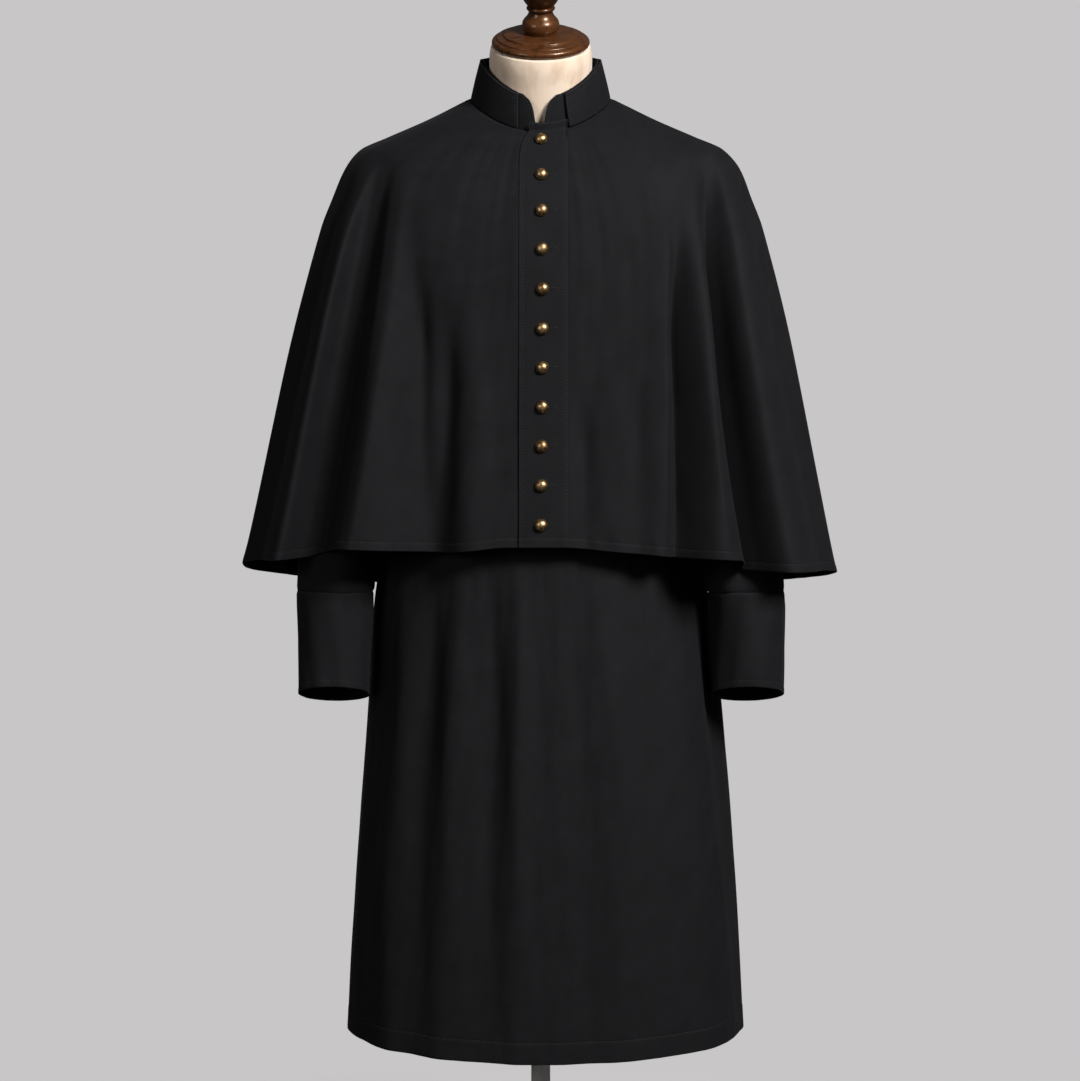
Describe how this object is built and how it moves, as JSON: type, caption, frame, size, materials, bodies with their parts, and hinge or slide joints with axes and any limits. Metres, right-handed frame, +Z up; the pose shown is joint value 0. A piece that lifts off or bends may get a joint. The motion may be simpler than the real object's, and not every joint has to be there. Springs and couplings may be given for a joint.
{
  "type": "cassock on dress form",
  "caption": "Black clerical cassock with a pleated, buttoned shoulder cape, set on a limbless dress form with a turned wood cap, a pole and a round foot.",
  "frame": {"origin": "centre of the flat underside of the stand's round foot, on the floor and on the axis of the pole", "axes": "+Z up along the pole; +X towards the wearer's left; -Y towards the buttoned front"},
  "size_m": [0.772, 0.4061, 1.6486],
  "materials": {
    "wool_cloth": "black wool gabardine, matt with a faint sheen",
    "button_metal": "antique brass, satin",
    "form_linen": "natural linen, matt",
    "form_walnut": "dark walnut, glossy varnish",
    "stand_steel": "pale grey paint, satin"
  },
  "bodies": {
    "root": {"cassock_front": "wool_cloth", "cassock_back_left": "wool_cloth", "cassock_back_right": "wool_cloth", "sleeve_left_fore": "wool_cloth", "sleeve_left_hind": "wool_cloth", "sleeve_right_fore": "wool_cloth", "sleeve_right_hind": "wool_cloth", "cuff_left": "wool_cloth", "cuff_right": "wool_cloth", "cassock_collar": "wool_cloth", "cape_front_left": "wool_cloth", "cape_front_right": "wool_cloth", "cape_back": "wool_cloth", "cape_collar": "wool_cloth", "front_band": "wool_cloth", "button_01": "button_metal", "button_02": "button_metal", "button_03": "button_metal", "button_04": "button_metal", "button_05": "button_metal", "button_06": "button_metal", "button_07": "button_metal", "button_08": "button_metal", "button_09": "button_metal", "button_10": "button_metal", "button_11": "button_metal", "form_body": "form_linen", "form_cap": "form_walnut", "form_finial": "form_walnut", "form_pole": "stand_steel", "form_base": "stand_steel"}
  },
  "joints": []
}
